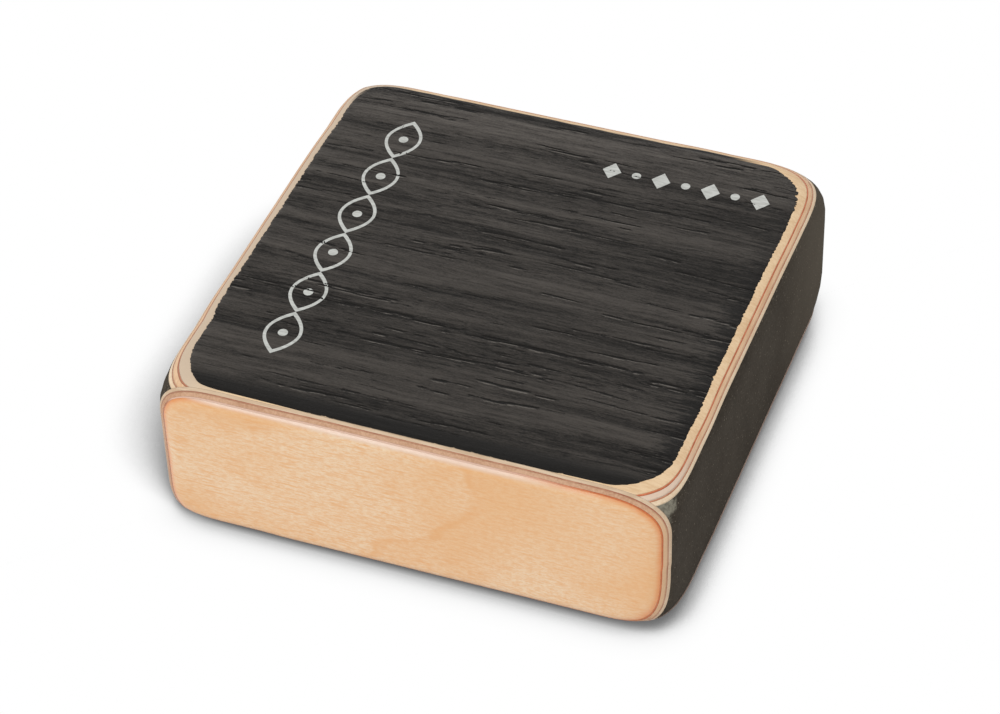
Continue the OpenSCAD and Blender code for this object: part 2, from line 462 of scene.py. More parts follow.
def scatterPores(look):
    rng = np.random.default_rng(look["seed"])
    pores = []
    for _ in range(look["chains"]):
        x = rng.uniform(look["from"][0], look["to"][0])
        tries = rng.uniform(look["from"][1], look["to"][1], 2)
        y = tries[np.argmax(broadGrain(x + 0 * tries, tries))]  # pores keep to the hollows
        strength = rng.uniform(*look["strength"])
        for _ in range(rng.integers(1, look["most"] + 1)):
            length = rng.uniform(*look["length"]) * strength
            width = rng.uniform(*look["width"])
            depth = strength * rng.uniform(*look["share"])
            pores.append((x + length / 2, y, length / 2, width, depth, rng.normal(0, look["tilt"])))
            x += length * rng.uniform(*look["overlap"])
            y += rng.normal(0, look["drift"])
    return pores


poreList = scatterPores(poreLook)


def poresAt(x, y):  # how deep in a pore each point is, and how near to the pale band in front of one, where a highlight is painted
    along = y + grainWander(x, y)
    groove, poreHighlight = np.zeros_like(x), np.zeros_like(x)
    for px, py, half, width, depth, tilt in poreList:
        dx = (x - px) / half
        dy = (along - py - tilt * (x - px)) / width
        hit = (np.abs(dx) < 1) & (np.abs(dy) < poreLook["hit"])
        if hit.any():
            share = depth * np.sqrt(1 - dx[hit] ** 2)
            groove[hit] = np.maximum(groove[hit], share * np.exp(-dy[hit] ** 2))
            poreHighlight[hit] = np.maximum(poreHighlight[hit], share * np.exp(-(dy[hit] + poreLook["poreHighlightAt"]) ** 2))
    return groove * (1 - inBand(y)), poreHighlight * (1 - inBand(y))


def turned(points, upward):  # a sheet is worked out for the top, and turned over for the underside
    points = np.asarray(points)
    return points if upward else points * (1, 1, -1) + (0, 0, height)


def tornEnds(y, edgeZ, upward, seed):  # how far each row reaches to the left and to the right
    look = veneerLook
    start, full = look["backCorner"]
    nearBack = ease((y - y[-1] + start) / (start - full))
    rows = turned(np.stack([0 * y, y, 0 * y + edgeZ], 1), upward)
    reaches = []
    for side in (-1, 1):
        limit = np.abs(reachForm(rows, (side, 0, 0))[:, 0])
        fibres = sum(look["fibreShare"] * rowNoise(y, seed + side + step, width) ** power
                     for step, width, power in look["fibres"])
        lost = look["torn"] * fibres * (1 + look["cornerTorn"][side] * nearBack)
        reaches.append((limit - np.minimum(lost, limit / 2))[:, None])
    return reaches


def sheetFaces(rows, columns):  # the grid of the sheet, closed by a rim and a floor
    grid = np.arange(rows * columns).reshape(rows, columns)
    faces = np.stack([grid[:-1, :-1], grid[:-1, 1:], grid[1:, 1:], grid[1:, :-1]], -1).reshape(-1, 4).tolist()
    ring = np.concatenate([grid[0], grid[1:, -1], grid[-1, -2::-1], grid[-2:0:-1, 0]]).tolist()
    flat = range(len(faces), len(faces) + len(ring) + 1)
    below = range(grid.size, grid.size + len(ring))
    for k in range(len(ring)):
        m = (k + 1) % len(ring)
        faces.append((ring[k], below[k], below[m], ring[m]))
    faces.append(tuple(reversed(below)))
    return faces, ring, flat


def makeVeneer(node, look):
    upward = node == "top_veneer"
    rows, columns = look["rows"][node], look["columns"]
    low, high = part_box(node)
    edgeZ = height - (high.z - low.z) + look["edgeLip"]
    endY = reachForm(turned((0, 0, edgeZ), upward), (0, 1, 0))[1]
    t = np.linspace(0, 1, rows)
    t = t - look["rowCrowd"] * np.sin(2 * math.pi * t) / (2 * math.pi)
    s = np.linspace(-1, 1, columns)
    s = np.sign(s) * (1 - (1 - np.abs(s)) ** look["columnPower"])
    y = coreY + (endY - coreY) * t
    left, right = tornEnds(y, edgeZ, upward, look["seed"][node])
    x = np.where(s < 0, s * left, s * right)
    y = np.repeat(y[:, None], columns, 1)
    middle = turned(np.stack([x, y, np.full_like(x, height / 2)], -1), upward)
    top = turned(reachForm(middle, (0, 0, 1 if upward else -1)), upward)[..., 2]
    groove, poreHighlight = poresAt(x, y if upward else -y)
    top = top - veneerRelief(x, y) - bandDrop(y) - poreLook["depth"] * groove
    top = np.maximum(top, edgeZ - 0.5 * look["edgeLip"])
    faces, ring, flat = sheetFaces(rows, columns)
    sheet = np.stack([x, y, top], -1).reshape(-1, 3)
    under = sheet[ring]
    under[:, 2] = edgeZ - look["edgeLip"]
    points = turned(np.concatenate([sheet, under]), upward)
    piece = addMesh(node + "_sheet", points, faces if upward else [f[::-1] for f in faces], flat)
    for name, values in (("groove", groove), ("poreHighlight", poreHighlight), ("ridge", 1 - broadGrain(x, y))):
        values = np.concatenate([values.ravel(), np.zeros(len(ring))])
        piece.data.attributes.new(name, "FLOAT", "POINT").data.foreach_set("value", values.astype(np.float32))
    return settle(piece, node)


veneers = [makeVeneer(node, veneerLook) for node in ("top_veneer", "bottom_veneer")]
print("veneers made,", len(poreList), "pores")


# pale ink on the top: a plain pattern of almonds, dots and lozenges
inkLook = {
    "line": 0.62 * mm,
    "film": 0.03 * mm,
    "depth": 0.05 * mm,
    "spacing": 0.3 * mm,
    # the next two are in millimetres
    "almonds": {"x": -32, "ys": range(-30, 31, 12), "wide": 3.6, "tall": 6.0, "dot": 0.95},
    "frieze": {"y": 34, "xs": range(10, 41, 5), "wide": 1.9, "tall": 2.4, "dot": 0.9},
    "dotPoints": 28,
    "almondPoints": 40,  # on each side
    "solid": (1, 0.8, 0.6, 0.4, 0.15),  # rings of a filled shape
    "closed": 0.2,  # a shape is filled if its last ring is smaller than this
    "poreLoss": 0.09 * mm,  # ink is lost from deep pores
    "poreDepth": (0.3, 0.7),
}


def inkHeight(x, y):
    groove = poresAt(x, y)[0]
    top = height - veneerRelief(x, y) - bandDrop(y) - poreLook["depth"] * groove
    shallow, deep = inkLook["poreDepth"]
    return top + inkLook["film"] - inkLook["poreLoss"] * ease((groove - shallow) / (deep - shallow))


def cornered(corners):
    corners = np.asarray(corners, float) * mm
    sides = []
    for a, b in zip(corners, np.roll(corners, -1, 0)):
        steps = max(2, int(np.hypot(*(b - a)) / inkLook["spacing"]))
        sides.append(a + (b - a) * np.linspace(0, 1, steps, endpoint=False)[:, None])
    return np.concatenate(sides)


def dotLoop(x, y, radius):
    turn = np.linspace(0, 2 * math.pi, inkLook["dotPoints"], endpoint=False)
    return np.stack([x + radius * np.cos(turn), y + radius * np.sin(turn)], 1) * mm


def almondLoop(x, y, wide, tall):
    rise = np.linspace(-1, 1, inkLook["almondPoints"], endpoint=False)
    bow = wide * (1 - rise ** 2)
    right = np.stack([x + bow, y + tall * rise], 1)
    left = np.stack([x - bow, y - tall * rise], 1)
    return np.concatenate([right, left]) * mm


def inkPatch(loop, shares):
    middle = loop.mean(0)
    flatPoints = np.concatenate([middle + (loop - middle) * s for s in shares])
    top = np.column_stack([flatPoints, inkHeight(flatPoints[:, 0], flatPoints[:, 1])])
    count, total = len(loop), len(top)
    inner = total - count
    filled = shares[-1] < inkLook["closed"]
    faces = []
    for k in range(count):
        m = (k + 1) % count
        for r in range(0, inner, count):
            a, b, c, d = r + k, r + m, r + count + m, r + count + k
            faces += [(a, b, c, d), (total + d, total + c, total + b, total + a)]
        faces.append((k, total + k, total + m, m))
        if not filled:  # an open outline has an inner wall
            faces.append((inner + m, total + inner + m, total + inner + k, inner + k))
    if filled:
        faces.append(tuple(range(inner, total)))
        faces.append(tuple(range(2 * total - 1, total + inner - 1, -1)))
    return np.concatenate([top, top - (0, 0, inkLook["depth"])]), faces


def makePrint():
    look = inkLook
    patches = []
    shape = look["almonds"]
    thin = 1 - look["line"] / mm / shape["wide"]
    for y in shape["ys"]:
        loop = almondLoop(shape["x"], y, shape["wide"], shape["tall"])
        patches.append(inkPatch(loop, (1, (1 + thin) / 2, thin)))
        patches.append(inkPatch(dotLoop(shape["x"], y, shape["dot"]), look["solid"]))
    shape = look["frieze"]
    y, wide, tall = shape["y"], shape["wide"], shape["tall"]
    for k, x in enumerate(shape["xs"]):
        if k % 2:
            loop = dotLoop(x, y, shape["dot"])
        else:
            loop = cornered([(x + wide, y), (x, y + tall), (x - wide, y), (x, y - tall)])
        patches.append(inkPatch(loop, look["solid"]))
    points, faces = [], []
    for p, f in patches:
        faces += [tuple(k + len(points) for k in face) for face in f]
        points += p.tolist()
    return settle(addMesh("top_print", points, faces, range(len(faces))), "top_veneer")


printPiece = makePrint()
print("print made")


# materials: small helpers around the shader nodes
class Shading:
    def __init__(self, name):
        self.material = bpy.data.materials.new(name)
        self.material.use_nodes = True
        self.tree = self.material.node_tree
        self.shader = self.tree.nodes["Principled BSDF"]
        self.place = self.add("ShaderNodeTexCoord").outputs["Object"]

    def add(self, kind, settings=None, **inputs):
        node = self.tree.nodes.new(kind)
        for key, value in (settings or {}).items():
            setattr(node, key, value)
        for key, value in inputs.items():
            self.feed(node.inputs[int(key[1:]) if key[1:].isdigit() else key], value)
        return node

    def feed(self, socket, value):
        if isinstance(value, bpy.types.NodeSocket):
            self.tree.links.new(value, socket)
        else:
            socket.default_value = value

    def noise(self, stretch, detail, roughness=0.5, distortion=0.0, source=None):
        place = self.add("ShaderNodeMapping", Vector=source or self.place, Scale=stretch).outputs["Vector"]
        return self.add("ShaderNodeTexNoise", Vector=place, Scale=1.0, Detail=detail,
                        Roughness=roughness, Distortion=distortion).outputs["Fac"]

    def level(self, value, low, high, toLow=0.0, toHigh=1.0):
        node = self.add("ShaderNodeMapRange", {"interpolation_type": "SMOOTHSTEP"}, Value=value)
        for k, number in zip((1, 2, 3, 4), (low, high, toLow, toHigh)):
            node.inputs[k].default_value = number
        return node.outputs["Result"]

    def mix(self, share, first, second):
        node = self.add("ShaderNodeMix", {"data_type": "RGBA"})
        self.feed(node.inputs[0], share)
        for socket, value in ((node.inputs[6], first), (node.inputs[7], second)):
            self.feed(socket, (*value, 1) if isinstance(value, tuple) else value)
        return node.outputs[2]

    def sum(self, how, first, second):
        node = self.add("ShaderNodeMath", {"operation": how})
        self.feed(node.inputs[0], first)
        self.feed(node.inputs[1], second)
        return node.outputs[0]

    def blend(self, *pairs):
        total = None
        for value, share in pairs:
            part = self.sum("MULTIPLY", value, share)
            total = part if total is None else self.sum("ADD", total, part)
        return total

    def course(self, value, spots):  # a curve through set spots, both ways from 0 to 1
        node = self.add("ShaderNodeFloatCurve", Value=value)
        points = node.mapping.curves[0].points
        points[0].location, points[1].location = spots[0], spots[-1]
        for spot in spots[1:-1]:
            points.new(*spot)
        node.mapping.update()
        return node.outputs[0]

    def mark(self, name):
        return self.add("ShaderNodeAttribute", {"attribute_name": name}).outputs["Fac"]

    def split(self):
        return self.add("ShaderNodeSeparateXYZ", Vector=self.place).outputs

    def bump(self, height, distance, strength=1.0):
        node = self.add("ShaderNodeBump", Height=height, Distance=distance, Strength=strength)
        return node.outputs["Normal"]

    def finish(self, colour, roughness, normal, **fixed):
        self.feed(self.shader.inputs["Base Color"], colour)
        self.feed(self.shader.inputs["Roughness"], roughness)
        self.feed(self.shader.inputs["Normal"], normal)
        for key, value in fixed.items():
            self.shader.inputs[key.replace("_", " ")].default_value = value
        return self.material


def tone(red, green, blue):  # a colour as it reads on screen, turned to linear light
    def linear(c):
        c /= 255
        return c / 12.92 if c <= 0.04045 else ((c + 0.055) / 1.055) ** 2.4
    return (linear(red), linear(green), linear(blue))


stainLook = {
    "deep": tone(15, 12, 9),
    "ridge": tone(73, 68, 63),
    "pore": tone(9, 6, 3),
    "poreHighlight": tone(108, 103, 97),
    "edge": tone(11, 9, 7),
    "paler": tone(118, 112, 106),
    "chip": tone(190, 166, 138),
    "grain": {  # each noise's stretch, detail and roughness, and its share in how light the grain is
        "streak": ((22, 800, 1), 3, 0.6, 0.25),
        "strand": ((140, 1700, 1), 3, 0.6, 0.24),
        "hair": ((650, 4400, 1), 3, 0.75, 0.22),
        "grit": ((1900, 6500, 1), 2, 0.6, 0.18),
    },
    "ridgeShare": 0.13,
    "lightness": (0.38, 0.66),
    "wander": ((30, 85, 1), 2),
    "wanderBy": 2 * mm,
    "backLeft": (-0.5, 0.86),  # the way in which the veneer gets a little paler
    "palerCorner": (-30 * mm, 60 * mm, 0, 0.16),
    "palerBack": (28 * mm, 49 * mm, 0, 0.38),
    # the front strip and the right end are painted darker as shade where the sheet slopes away
    "frontEdge": (coreY + 4.6 * mm, coreY + 2.4 * mm),
    "raggedFront": 6.0 * mm,
    "rightEdge": (halfWidth - 9.0 * mm, halfWidth - 3.6 * mm),
    "raggedRight": 26.0 * mm,
    "rightFade": (34 * mm, 0, 0.15, 1),
    "edgeShare": 0.9,
    "torn": 0.9,  # how far the grit breaks up pores and the highlights painted in front of them
    "poreHighlightLevel": (0.3, 0.7, 0, 0.8),
    "grooveLevel": (0.16, 0.32),
    "pit": ((300, 2500, 1), 2),
    "pitLevel": (0.59, 0.66, 0, 0.85),
    "nick": ((300, 30, 1), 4, 0.7),
    "nickLevel": (0.5, 0.85, 0, 0.5 * mm),
    "chipWidth": 0.12 * mm,
    "relief": 0.16 * mm,
}


def stainedVeneer(look):
    s = Shading("black_stained_veneer")
    wander = s.sum("MULTIPLY", s.noise(*look["wander"]), look["wanderBy"])
    shift = s.add("ShaderNodeCombineXYZ", Y=wander).outputs[0]
    place = s.add("ShaderNodeVectorMath", {"operation": "ADD"}, i0=s.place, i1=shift).outputs[0]
    grain = {name: s.noise(*settings[:3], source=place) for name, settings in look["grain"].items()}
    ridge = s.mark("ridge")
    shares = [(grain[name], settings[3]) for name, settings in look["grain"].items()]
    # how light the grain is, partly following the relief's ridges: partly the stain's own grain, partly
    # painted sheen
    light = s.blend((ridge, look["ridgeShare"]), *shares)
    x, y = s.split()[0:2]
    corner = s.blend(*zip((x, y), look["backLeft"]))
    # paler towards the back left corner and towards the back
    thin = s.mix(s.level(corner, *look["palerCorner"]), look["ridge"], look["paler"])
    thin = s.mix(s.level(y, *look["palerBack"]), thin, look["paler"])
    colour = s.mix(s.level(light, *look["lightness"]), look["deep"], thin)
    # painted shade along the front strip and the right end, where the sheet slopes away from the light; the
    # front strip is also sanded smoother
    tips = s.blend((grain["strand"], 0.6), (grain["hair"], 0.4))  # fibres end at uneven places
    tips = s.sum("SUBTRACT", tips, 0.5)
    front = s.sum("SUBTRACT", y, s.sum("MULTIPLY", tips, look["raggedFront"]))
    front = s.level(front, *look["frontEdge"])
    right = s.sum("SUBTRACT", x, s.sum("MULTIPLY", tips, look["raggedRight"]))
    right = s.sum("MULTIPLY", s.level(right, *look["rightEdge"]), s.level(y, *look["rightFade"]))
    edge = s.sum("MAXIMUM", front, right)
    colour = s.mix(s.sum("MULTIPLY", edge, look["edgeShare"]), colour, look["edge"])
    torn = s.sum("MULTIPLY", s.sum("SUBTRACT", grain["grit"], 0.5), look["torn"])
    # a highlight painted pale on the near edge of each pore
    poreHighlight = s.level(s.sum("ADD", s.mark("poreHighlight"), torn), *look["poreHighlightLevel"])
    colour = s.mix(poreHighlight, colour, look["poreHighlight"])
    pits = s.level(s.noise(*look["pit"], source=place), *look["pitLevel"])
    pits = s.sum("MULTIPLY", pits, s.level(ridge, 0.75, 0.35, 0.25, 1))
    groove = s.level(s.sum("ADD", s.mark("groove"), torn), *look["grooveLevel"])
    pores = s.sum("MAXIMUM", groove, pits)
    colour = s.mix(pores, colour, look["pore"])
    nick = s.level(s.noise(*look["nick"]), *look["nickLevel"])  # chipped at the front
    chip = s.level(s.sum("SUBTRACT", y, nick), coreY + look["chipWidth"], coreY)
    colour = s.mix(chip, colour, look["chip"])
    rough = s.level(light, 0.35, 0.65, 0.62, 0.46)
    relief = s.sum("SUBTRACT", s.blend((light, 1.0), (grain["grit"], 0.25)), s.sum("MULTIPLY", pores, 0.6))
    return s.finish(colour, rough, s.bump(relief, look["relief"], 0.9), Specular_IOR_Level=0.16)


birchLook = {
    "pale": tone(232, 208, 176),
    "warm": tone(226, 180, 130),
    "fibre": tone(222, 164, 106),
    "vein": tone(222, 161, 96),
    "rim": tone(218, 130, 66),
    "paleMark": tone(223, 205, 189),
    "cloud": ((22, 1, 40), 2, 0.5, 0.6),  # noises: stretch, detail, roughness and distortion
    "figure": ((75, 1, 100), 3, 0.6, 0.5),
    "line": ((190, 1, 1900), 4, 0.66),
    "dash": ((700, 1, 2500), 4, 0.66),
    "fleck": ((2300, 1, 2600), 2, 0.6),
    "breaks": ((240, 1, 420), 3, 0.6),
    "growth": [(0, 0.37), (0.1, 0.42), (0.25, 0.46), (0.29, 0.52), (0.5, 0.585), (0.62, 0.63), (0.8, 0.64),
               (1, 0.6)],  # a growth line wanders up the face, in shares of its height and width
    "growthFigure": 8 * mm,  # how far the figure and the lines pull the growth line about
    "growthLine": 2.5 * mm,
    "flankFrom": (-1 * mm, 2.5 * mm),  # warmer on the right of the growth line
    "flankTo": (32 * mm, 4 * mm),
    "flankRise": (2 * mm, 28 * mm, 0.2, 0.85),
    "rightEnd": (37 * mm, 49 * mm, 0, 0.4),
    "veinLevel": (1.9 * mm, 0, 0, 0.6),
    "breakLevel": (0.34, 0.62, 0.5, 1),
    "lineLevel": (0.49, 0.66, 0, 0.68),
    "lineFade": (22 * mm, -12 * mm, 0.7, 1),
    "dashLevel": (0.37, 0.65, 0, 0.58),
    "fleckLevel": (0.40, 0.68, 0, 0.2),
    "rimReach": (0.2 * mm, 0.85 * mm, 0, 0.8),  # how far back from the flat of the face the rim darkens
    "rimWander": 0.4 * mm,
    "highlightHeight": (height - 2.6 * mm, height - 1.7 * mm),  # a highlight is painted pale along the upper edge, most at the left
    "highlightReach": (38 * mm, 14 * mm),
    "highlightShare": 0.7,
}


def lacqueredBirch(look):
    s = Shading("lacquered_birch")
    x, y, z = s.split()
    figure = s.noise(*look["figure"])
    line = s.noise(*look["line"])
    dash = s.noise(*look["dash"])
    colour = s.mix(s.level(s.noise(*look["cloud"]), 0.32, 0.74), look["pale"], look["warm"])
    growth = s.course(s.sum("DIVIDE", z, height), look["growth"])
    across = s.blend((x, 1.0), (growth, -2 * halfWidth), (figure, look["growthFigure"]),
                     (line, look["growthLine"]))
    across = s.sum("ADD", across, halfWidth - (look["growthFigure"] + look["growthLine"]) / 2)
    flank = s.sum("MULTIPLY", s.level(across, *look["flankFrom"]), s.level(across, *look["flankTo"]))
    flank = s.sum("MULTIPLY", flank, s.level(z, *look["flankRise"]))
    colour = s.mix(flank, colour, look["warm"])
    colour = s.mix(s.level(x, *look["rightEnd"]), colour, look["vein"])
    vein = s.level(s.sum("ABSOLUTE", across, 0), *look["veinLevel"])
    vein = s.sum("MULTIPLY", vein, s.level(s.noise(*look["breaks"]), *look["breakLevel"]))
    colour = s.mix(vein, colour, look["vein"])
    lines = s.sum("MULTIPLY", s.level(line, *look["lineLevel"]), s.level(x, *look["lineFade"]))
    colour = s.mix(lines, colour, look["fibre"])
    colour = s.mix(s.level(dash, *look["dashLevel"]), colour, look["fibre"])
    colour = s.mix(s.level(s.noise(*look["fleck"]), *look["fleckLevel"]), colour, look["fibre"])
    # the rounded rim darkens to orange: partly the sanded edge's own colour, partly painted shade where the
    # rounding turns from the light
    wander = s.sum("MULTIPLY", s.sum("SUBTRACT", figure, 0.5), look["rimWander"])
    rim = s.level(s.sum("ADD", s.sum("ADD", y, halfDepth), wander), *look["rimReach"])
    colour = s.mix(rim, colour, look["rim"])
    # a highlight painted pale along the upper edge of the face, most at the left
    paleMark = s.level(x, *look["highlightReach"], 0, look["highlightShare"])
    paleMark = s.sum("MULTIPLY", paleMark, s.level(z, *look["highlightHeight"]))
    colour = s.mix(paleMark, colour, look["paleMark"])
    return s.finish(colour, s.level(dash, 0.3, 0.7, 0.15, 0.21), s.bump(dash, 0.006 * mm, 0.25),
                    Specular_IOR_Level=0.5)


plyEdgeLook = {
    "cloud": ((170, 170, 170), 2),
    "grit": ((5200, 5200, 5200), 2),
    "cornerX": (26 * mm, 42 * mm),  # paler round the front right corner
    "cornerY": (coreY + 18 * mm, coreY + 5 * mm, 0, 0.75),
    "flankX": (halfWidth - 5 * mm, halfWidth - 2 * mm, 0, 0.8),  # the front panel's right end
    # the face plies are painted darker towards the left end, as shade
    "leftX": (-32 * mm, -45 * mm, 0, 0.9),
    "stainX": (38 * mm, 30 * mm),  # the black stain has run a little over the back edge
    "stainY": (halfDepth - 14 * mm, halfDepth - 7 * mm),
    "stainZ": (height - 0.42 * mm, height - 0.33 * mm),
    "stainRagged": 0.3 * mm,
}
alongX, alongY, endOn = (120, 2600, 2600), (2600, 120, 2600), (2200, 2600, 2200)  # which way the fibres lie
plyTones = {
    "birch_ply_edge": {
        "pieces": ("top_face_ply", "bottom_face_ply"), "fibre": alongX, "stain": stainLook["deep"],
        "pale": tone(236, 206, 167), "dark": tone(218, 182, 140), "left": tone(203, 183, 160)},
    "birch_core_edge": {
        "pieces": ("top_core_ply", "bottom_core_ply"), "fibre": alongY,
        "pale": tone(230, 194, 157), "dark": tone(210, 167, 128), "corner": tone(222, 201, 183)},
    "inner_ply_edge": {
        "pieces": ("top_inner_ply",), "fibre": alongX,
        "pale": tone(234, 212, 182), "dark": tone(218, 190, 157)},
    # the same birch as the inner ply above, painted darker and greyer as shade near the floor
    "shaded_base_ply_edge": {
        "pieces": ("bottom_inner_ply",), "fibre": alongX,
        "pale": tone(206, 180, 166), "dark": tone(184, 154, 140)},
    "front_inner_edge": {
        "pieces": ("front_inner_ply",), "fibre": alongX,
        "pale": tone(216, 192, 164), "dark": tone(196, 167, 136)},
    "front_core_edge": {
        "pieces": ("front_core_ply",), "fibre": endOn,
        "pale": tone(206, 166, 134), "dark": tone(180, 134, 102), "flank": tone(214, 178, 140)},
}


def plyEdge(name, tones, look):
    s = Shading(name)
    x, y, z = s.split()
    fibre = s.noise(tones["fibre"], 3, 0.6)
    grit = s.noise(*look["grit"])
    share = s.blend((fibre, 0.6), (s.noise(*look["cloud"]), 0.4))
    colour = s.mix(s.level(share, 0.34, 0.68), tones["pale"], tones["dark"])
    colour = s.mix(s.level(grit, 0.58, 0.75, 0, 0.3), colour, tones["dark"])
    if "corner" in tones:
        near = s.sum("MULTIPLY", s.level(y, *look["cornerY"]), s.level(x, *look["cornerX"]))
        colour = s.mix(near, colour, tones["corner"])
    if "flank" in tones:
        colour = s.mix(s.level(x, *look["flankX"]), colour, tones["flank"])
    # painted shade towards the left end
    if "left" in tones:
        colour = s.mix(s.level(x, *look["leftX"]), colour, tones["left"])
    if "stain" in tones:
        depth = s.sum("ADD", z, s.sum("MULTIPLY", s.sum("SUBTRACT", fibre, 0.5), look["stainRagged"]))
        run = s.sum("MULTIPLY", s.level(depth, *look["stainZ"]), s.level(x, *look["stainX"]))
        run = s.sum("MULTIPLY", run, s.level(y, *look["stainY"]))
        colour = s.mix(run, colour, tones["stain"])
    return s.finish(colour, s.level(grit, 0.3, 0.7, 0.5, 0.7), s.bump(fibre, 0.03 * mm, 0.6),
                    Specular_IOR_Level=0.35)


filmLook = {
    "blotch": ((420, 420, 420), 4, 0.65),
    # the films are painted darker and browner towards the left end, as shade
    "left": tone(168, 118, 92),
    "leftX": (-32 * mm, -45 * mm, 0, 0.7),
    "bareX": birchLook["highlightReach"],  # a highlight painted along with the front's upper edge
    "bareZ": (height - 5 * mm, height - 3 * mm),
}
filmTones = {
    "orange_glue_film": {
        "pieces": ("front_outer_glue_film",),
        "red": tone(214, 118, 66), "brown": tone(196, 104, 60), "bare": tone(222, 184, 162)},
    "red_glue_film": {
        "pieces": ("top_outer_glue_film", "bottom_outer_glue_film"),
        "red": tone(214, 124, 84), "brown": tone(192, 104, 68)},
    "brown_glue_film": {
        "pieces": ("front_inner_glue_film",),
        "red": tone(190, 132, 102), "brown": tone(166, 104, 78)},
    "russet_glue_film": {
        "pieces": ("top_inner_glue_film", "bottom_inner_glue_film"),
        "red": tone(204, 140, 106), "brown": tone(180, 112, 82)},
}


def glueFilm(name, tones, look):
    s = Shading(name)
    x, _, z = s.split()
    blotch = s.noise(*look["blotch"])
    colour = s.mix(s.level(blotch, 0.35, 0.68), tones["red"], tones["brown"])
    # painted shade towards the left end
    colour = s.mix(s.level(x, *look["leftX"]), colour, look["left"])
    # a highlight painted pale on the outer film along the front's upper edge
    if "bare" in tones:
        bare = s.sum("MULTIPLY", s.level(z, *look["bareZ"]), s.level(x, *look["bareX"]))
        colour = s.mix(bare, colour, tones["bare"])
    return s.finish(colour, s.level(blotch, 0.3, 0.7, 0.45, 0.65), s.bump(blotch, 0.02 * mm, 0.5),
                    Specular_IOR_Level=0.35)


boardLook = {
    "dark": tone(55, 49, 42),
    "light": tone(75, 69, 61),
    "faded": tone(103, 95, 83),
    "speck": tone(128, 119, 104),
    "rubbed": tone(146, 142, 127),
    "felt": ((1500, 1500, 1500), 4, 0.7),
    "cloud": ((90, 90, 90), 2),
    "specks": ((2300, 2300, 2300), 0),
    "ragged": ((700, 700, 700), 3, 0.6),
    "fadedY": (5 * mm, 52 * mm, 0, 0.5),  # towards the back
    "speckLevel": (0.75, 0.81, 0, 0.8),
    "rubbedAt": (halfWidth - 2.2 * mm, coreY + 1.0 * mm, height - 2.9 * mm),
    "rubbedReach": (4.8 * mm, 3.7 * mm),
    "rubbedRagged": 4 * mm,
}


def dyedBoard(look):
    s = Shading("dyed_fibreboard")
    felt = s.noise(*look["felt"])
    share = s.blend((felt, 0.7), (s.noise(*look["cloud"]), 0.3))
    colour = s.mix(s.level(share, 0.34, 0.66), look["dark"], look["light"])
    colour = s.mix(s.level(s.split()[1], *look["fadedY"]), colour, look["faded"])
    colour = s.mix(s.level(s.noise(*look["specks"]), *look["speckLevel"]), colour, look["speck"])
    # paler in a ragged patch by the front right upper corner
    away = s.add("ShaderNodeVectorMath", {"operation": "DISTANCE"}, i0=s.place,
                 i1=look["rubbedAt"]).outputs["Value"]
    away = s.sum("ADD", away, s.sum("MULTIPLY", s.noise(*look["ragged"]), look["rubbedRagged"]))
    paleMark = s.sum("MULTIPLY", s.level(away, *look["rubbedReach"]), s.level(felt, 0.35, 0.6, 0.35, 0.8))
    colour = s.mix(paleMark, colour, look["rubbed"])
    return s.finish(colour, s.level(felt, 0.3, 0.7, 0.8, 0.95), s.bump(felt, 0.04 * mm, 0.6),
                    Specular_IOR_Level=0.05)


steelLook = {
    "dull": tone(176, 178, 180),
    "bright": tone(202, 204, 206),
    "rub": ((900, 900, 900), 4, 0.6),
}


def brightSteel(look):
    s = Shading("bright_steel")
    rub = s.noise(*look["rub"])
    colour = s.mix(s.level(rub, 0.3, 0.7), look["dull"], look["bright"])
    return s.finish(colour, s.level(rub, 0.3, 0.7, 0.16, 0.32), s.bump(rub, 0.01 * mm, 0.4), Metallic=1.0)


printLook = {
    "full": tone(204, 206, 201),
    "thin": tone(176, 177, 172),
    "patch": ((400, 1800, 1), 3, 0.6),
}


def paleInk(look):
    s = Shading("pale_ink")
    patch = s.noise(*look["patch"])
    colour = s.mix(s.level(patch, 0.3, 0.72), look["full"], look["thin"])
    return s.finish(colour, s.level(patch, 0.3, 0.7, 0.5, 0.65), s.bump(patch, 0.02 * mm, 0.5))


def dress(material, *pieces):
    for piece in pieces:
        piece.data.materials.clear()
        piece.data.materials.append(material)


dress(stainedVeneer(stainLook), *veneers)
dress(paleInk(printLook), printPiece)
dress(lacqueredBirch(birchLook), layerPieces["front_face_ply"])
for name, tones in plyTones.items():
    dress(plyEdge(name, tones, plyEdgeLook), *(layerPieces[node] for node in tones["pieces"]))
for name, tones in filmTones.items():
    dress(glueFilm(name, tones, filmLook), *(layerPieces[node] for node in tones["pieces"]))
dividers = [node for name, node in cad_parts.items() if name.startswith("divider")]
shot = [node for name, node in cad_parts.items() if name.startswith("shot")]
dress(dyedBoard(boardLook), *wallPieces.values(), *dividers)
dress(brightSteel(steelLook), *shot)
print("materials made")


